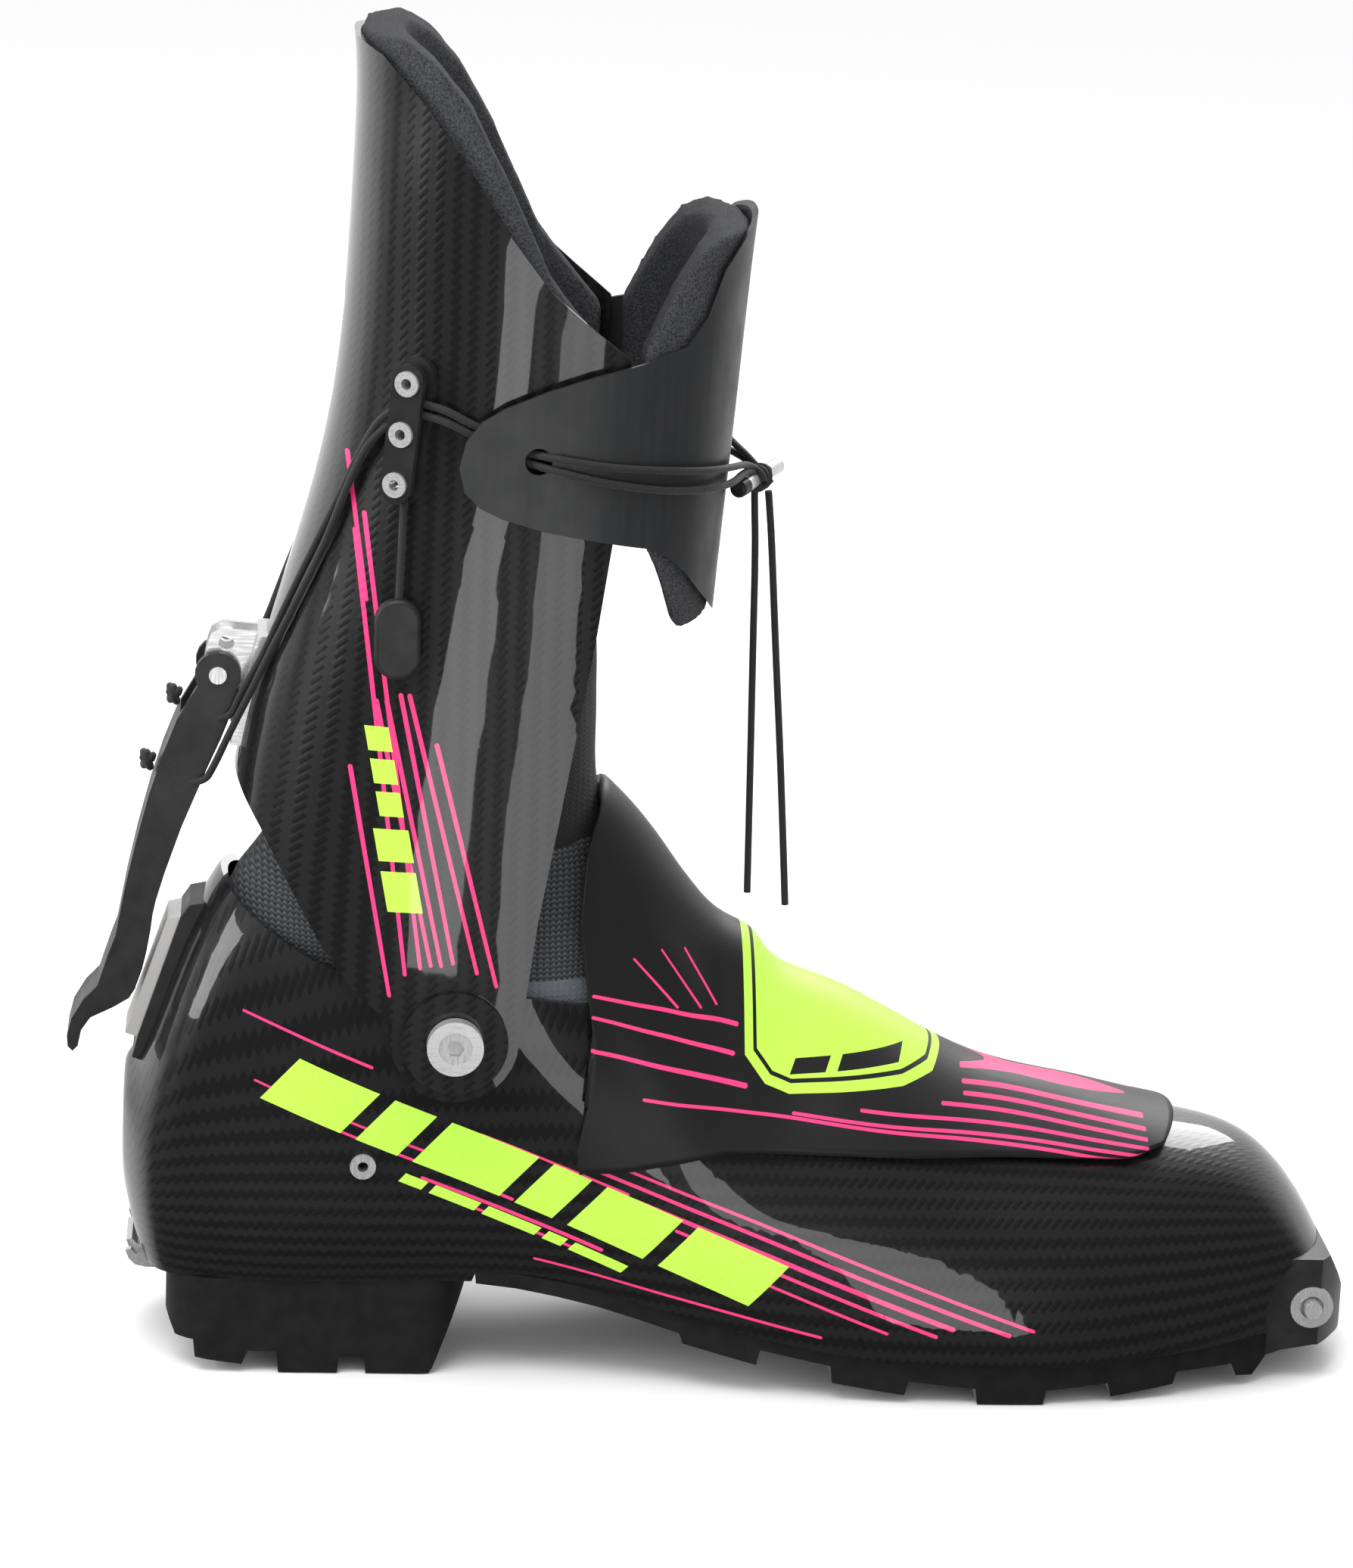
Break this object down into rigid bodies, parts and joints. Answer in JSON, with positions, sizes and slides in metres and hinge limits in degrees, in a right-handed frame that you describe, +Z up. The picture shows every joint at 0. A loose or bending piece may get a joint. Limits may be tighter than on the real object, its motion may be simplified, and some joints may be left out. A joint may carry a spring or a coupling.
{
  "type": "alpine touring boot",
  "caption": "Right ski-mountaineering race boot with hinged carbon cuff, rear lever, front tongue, cord closure, inner boot, gaiter and steel toe and heel fittings.",
  "frame": {"origin": "on the ground, under the middle of the boot's outer box", "axes": "+X to the toe, +Z up, +Y to the inner side of the foot"},
  "size_m": [0.3224, 0.1008, 0.329],
  "materials": {
    "carbon": "clear-coated twill carbon laminate",
    "sole_rubber": "matte moulded",
    "toe_plastic": "satin moulded",
    "guide_plastic": "satin moulded",
    "lever_plastic": "satin carbon and plastic",
    "tongue_plastic": "fine matte grain",
    "steel": "plain",
    "aluminium": "satin anodised",
    "light_metal": "machined",
    "foam": "closed-cell foam with cut edges",
    "liner_fabric": "knit and soft lining",
    "insole_fabric": "felt",
    "gaiter_fabric": "coated stretch fabric",
    "cord": "braided",
    "tab_rubber": "satin"
  },
  "bodies": {
    "lower_shell": {"lower_shell": "carbon", "heel_sole": "sole_rubber", "forefoot_sole": "sole_rubber", "toe_block": "toe_plastic", "toe_insert": "steel", "heel_fitting": "steel", "heel_fitting_screw": "steel", "lock_plate": "light_metal", "lock_pad": "toe_plastic", "lock_screws": "steel", "shell_rivets": "steel", "inner_boot": "liner_fabric", "insole": "insole_fabric", "gaiter": "gaiter_fabric", "pivot_barrels": "aluminium", "pivot_spacers": "toe_plastic", "pivot_caps": "aluminium", "pivot_screws": "steel"},
    "cuff": {"cuff_shell": "carbon", "cuff_pad": "foam", "guide_bases": "toe_plastic", "guide_plates": "guide_plastic", "guide_rivets": "aluminium", "lever_bracket": "aluminium", "bracket_rivets": "aluminium", "rear_cords": "cord", "guide_cords": "cord"},
    "lever": {"lever": "lever_plastic", "lever_pin": "steel", "lever_latch": "lever_plastic", "lever_knots": "cord"},
    "tongue": {"tongue_plate": "tongue_plastic", "tongue_pad": "foam", "front_cords": "cord", "toggle": "aluminium", "toggle_cap": "guide_plastic", "cord_knot": "cord"},
    "cord_ends": {"hanging_cord_rear": "cord", "hanging_cord_front": "cord"},
    "pull_tab": {"pull_tab": "tab_rubber", "pull_cord": "cord"}
  },
  "joints": [
    {"name": "cuff_pivot", "type": "hinge", "parent": "lower_shell", "child": "cuff", "pos_m": [-0.0674, 0, 0.0913], "axis": [0, 1, 0], "range_deg": [0, 25], "deforming": ["gaiter", "inner_boot"]},
    {"name": "lever_pivot", "type": "hinge", "parent": "cuff", "child": "lever", "pos_m": [-0.1258, 0, 0.1713], "axis": [0, 1, 0], "range_deg": [0, 150], "deforming": ["rear_cords"]},
    {"name": "tongue_slide", "type": "slide", "parent": "cuff", "child": "tongue", "axis": [1, 0, 0], "range_m": [0, 0.015], "deforming": ["guide_cords"]},
    {"name": "pull_tab_swing", "type": "hinge", "parent": "cuff", "child": "pull_tab", "pos_m": [-0.083, -0.0404, 0.2204], "axis": [0, 1, 0], "range_deg": [-10, 10]},
    {"name": "cord_swing", "type": "hinge", "parent": "tongue", "child": "cord_ends", "pos_m": [0.0045, -0.002, 0.2195], "axis": [0, 1, 0], "range_deg": [-37.5, 0]}
  ],
  "couplings": [
    {"joint": "cord_swing", "follows": "cuff_pivot", "ratio": -1.5}
  ]
}
